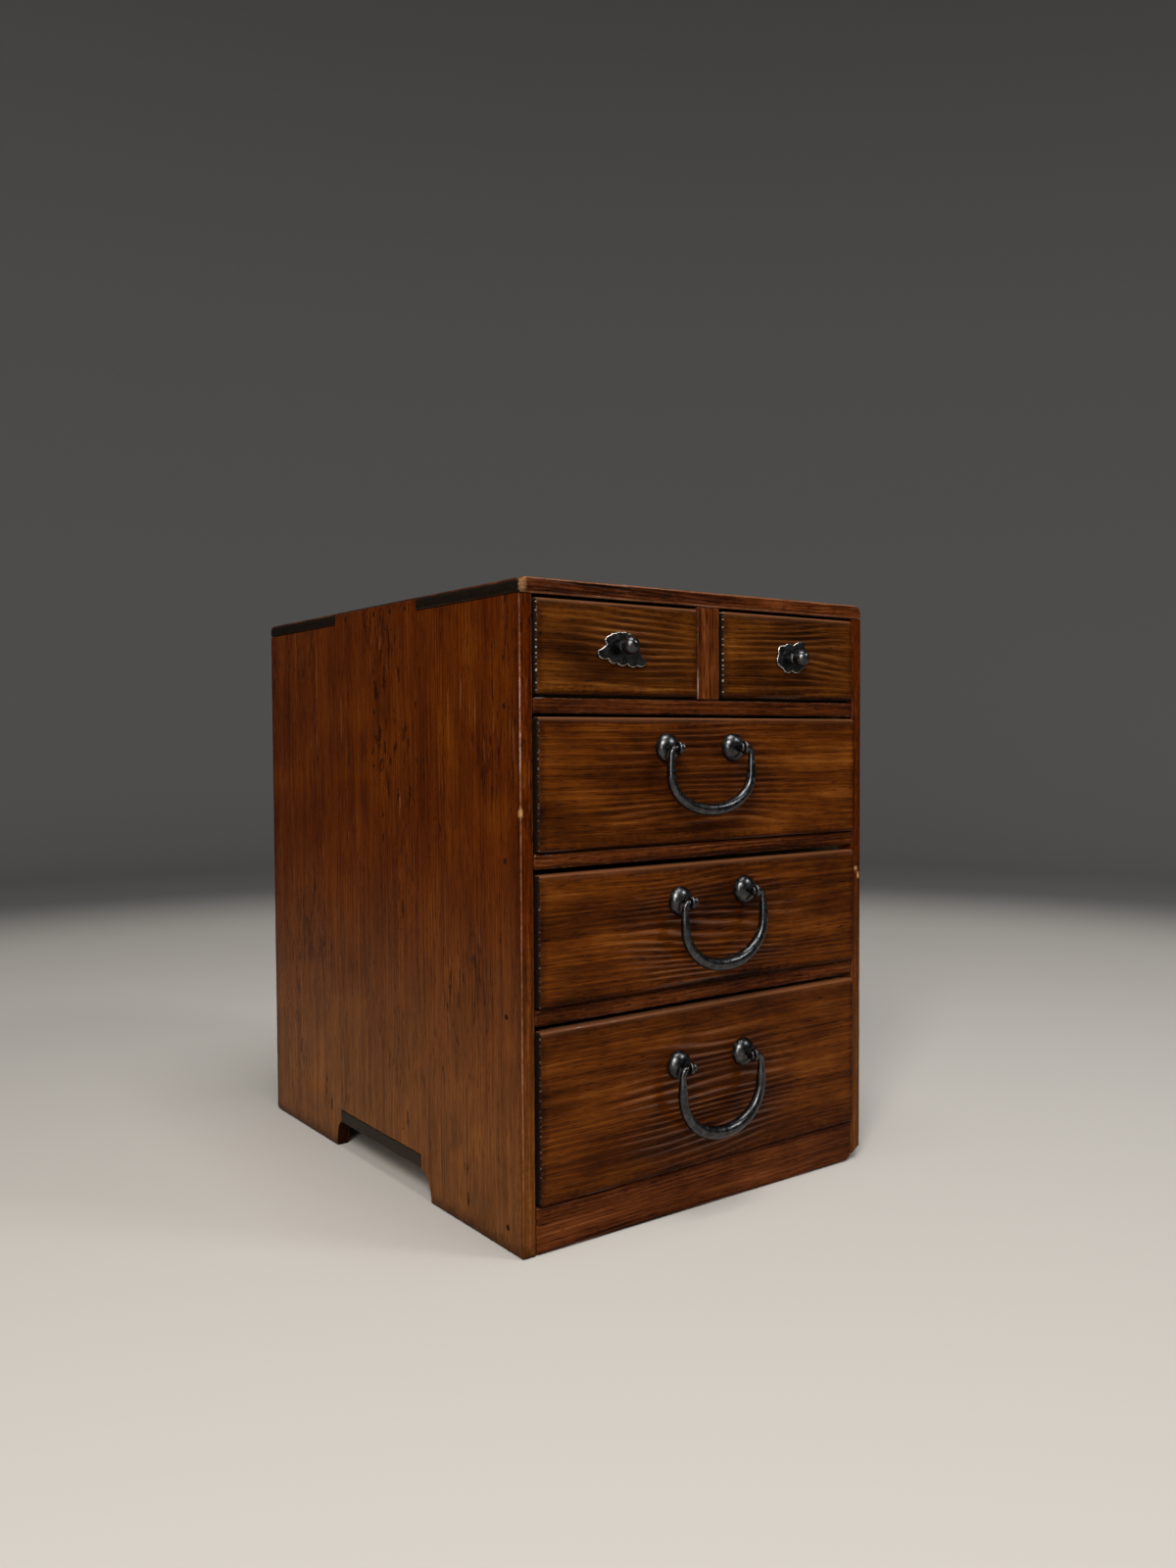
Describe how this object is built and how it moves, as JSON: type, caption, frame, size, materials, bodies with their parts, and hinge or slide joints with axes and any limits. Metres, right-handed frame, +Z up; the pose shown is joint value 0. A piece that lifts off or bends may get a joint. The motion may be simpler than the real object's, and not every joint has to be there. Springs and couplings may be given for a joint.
{
  "type": "document chest",
  "caption": "Small tabletop chest of stained thin boards with small drawers over wide ones, forged iron bail handles, ball knobs on cut plates and arched side feet.",
  "frame": {"origin": "on the floor, under the middle of the whole chest with its ironwork", "axes": "+Z up, -Y out of the drawer fronts, +X to the right as seen from the front"},
  "size_m": [0.278, 0.372, 0.38],
  "materials": {
    "case_wood": "dark stained, wiped lacquer, semi-gloss",
    "front_wood": "amber stained, wiped lacquer, semi-gloss",
    "inner_wood": "bare, planed",
    "iron": "black forged"
  },
  "bodies": {
    "case": {"side_panel_left": "case_wood", "side_panel_right": "case_wood", "top_board": "case_wood", "bottom_board": "inner_wood", "back_panel": "inner_wood", "upper_shelf": "case_wood", "middle_rail": "case_wood", "lower_rail": "case_wood", "plinth_rail": "case_wood", "divider_post": "case_wood", "drawer_guide": "inner_wood", "middle_runner_left": "inner_wood", "middle_runner_right": "inner_wood", "lower_runner_left": "inner_wood", "lower_runner_right": "inner_wood"},
    "small_drawer_left": {"small_drawer_left_front": "front_wood", "small_drawer_left_side_left": "inner_wood", "small_drawer_left_side_right": "inner_wood", "small_drawer_left_back": "inner_wood", "small_drawer_left_bottom": "inner_wood", "small_drawer_left_plate": "iron", "small_drawer_left_knob": "iron"},
    "small_drawer_right": {"small_drawer_right_front": "front_wood", "small_drawer_right_side_left": "inner_wood", "small_drawer_right_side_right": "inner_wood", "small_drawer_right_back": "inner_wood", "small_drawer_right_bottom": "inner_wood", "small_drawer_right_plate": "iron", "small_drawer_right_knob": "iron"},
    "upper_drawer": {"upper_drawer_front": "front_wood", "upper_drawer_side_left": "inner_wood", "upper_drawer_side_right": "inner_wood", "upper_drawer_back": "inner_wood", "upper_drawer_bottom": "inner_wood", "upper_drawer_eye_pin_left": "iron", "upper_drawer_eye_pin_right": "iron", "upper_drawer_rosette_left": "iron", "upper_drawer_rosette_right": "iron"},
    "middle_drawer": {"middle_drawer_front": "front_wood", "middle_drawer_side_left": "inner_wood", "middle_drawer_side_right": "inner_wood", "middle_drawer_back": "inner_wood", "middle_drawer_bottom": "inner_wood", "middle_drawer_eye_pin_left": "iron", "middle_drawer_eye_pin_right": "iron", "middle_drawer_rosette_left": "iron", "middle_drawer_rosette_right": "iron"},
    "lower_drawer": {"lower_drawer_front": "front_wood", "lower_drawer_side_left": "inner_wood", "lower_drawer_side_right": "inner_wood", "lower_drawer_back": "inner_wood", "lower_drawer_bottom": "inner_wood", "lower_drawer_eye_pin_left": "iron", "lower_drawer_eye_pin_right": "iron", "lower_drawer_rosette_left": "iron", "lower_drawer_rosette_right": "iron"},
    "upper_bail": {"upper_drawer_bail": "iron"},
    "middle_bail": {"middle_drawer_bail": "iron"},
    "lower_bail": {"lower_drawer_bail": "iron"}
  },
  "joints": [
    {"name": "small_drawer_left_slide", "type": "slide", "parent": "case", "child": "small_drawer_left", "axis": [0, -1, 0], "range_m": [0, 0.26]},
    {"name": "small_drawer_right_slide", "type": "slide", "parent": "case", "child": "small_drawer_right", "axis": [0, -1, 0], "range_m": [0, 0.26]},
    {"name": "upper_drawer_slide", "type": "slide", "parent": "case", "child": "upper_drawer", "axis": [0, -1, 0], "range_m": [0, 0.26]},
    {"name": "middle_drawer_slide", "type": "slide", "parent": "case", "child": "middle_drawer", "axis": [0, -1, 0], "range_m": [0, 0.26]},
    {"name": "lower_drawer_slide", "type": "slide", "parent": "case", "child": "lower_drawer", "axis": [0, -1, 0], "range_m": [0, 0.26]},
    {"name": "upper_bail_swing", "type": "hinge", "parent": "upper_drawer", "child": "upper_bail", "pos_m": [-0.01, -0.18195, 0.2849], "axis": [-1, 0, 0], "range_deg": [-8, 100]},
    {"name": "middle_bail_swing", "type": "hinge", "parent": "middle_drawer", "child": "middle_bail", "pos_m": [-0.0003, -0.18195, 0.1943], "axis": [-0.9983, 0, -0.0576], "range_deg": [-8, 100]},
    {"name": "lower_bail_swing", "type": "hinge", "parent": "lower_drawer", "child": "lower_bail", "pos_m": [-0.0017, -0.18195, 0.0931], "axis": [-1, 0, 0], "range_deg": [-8, 100]}
  ]
}
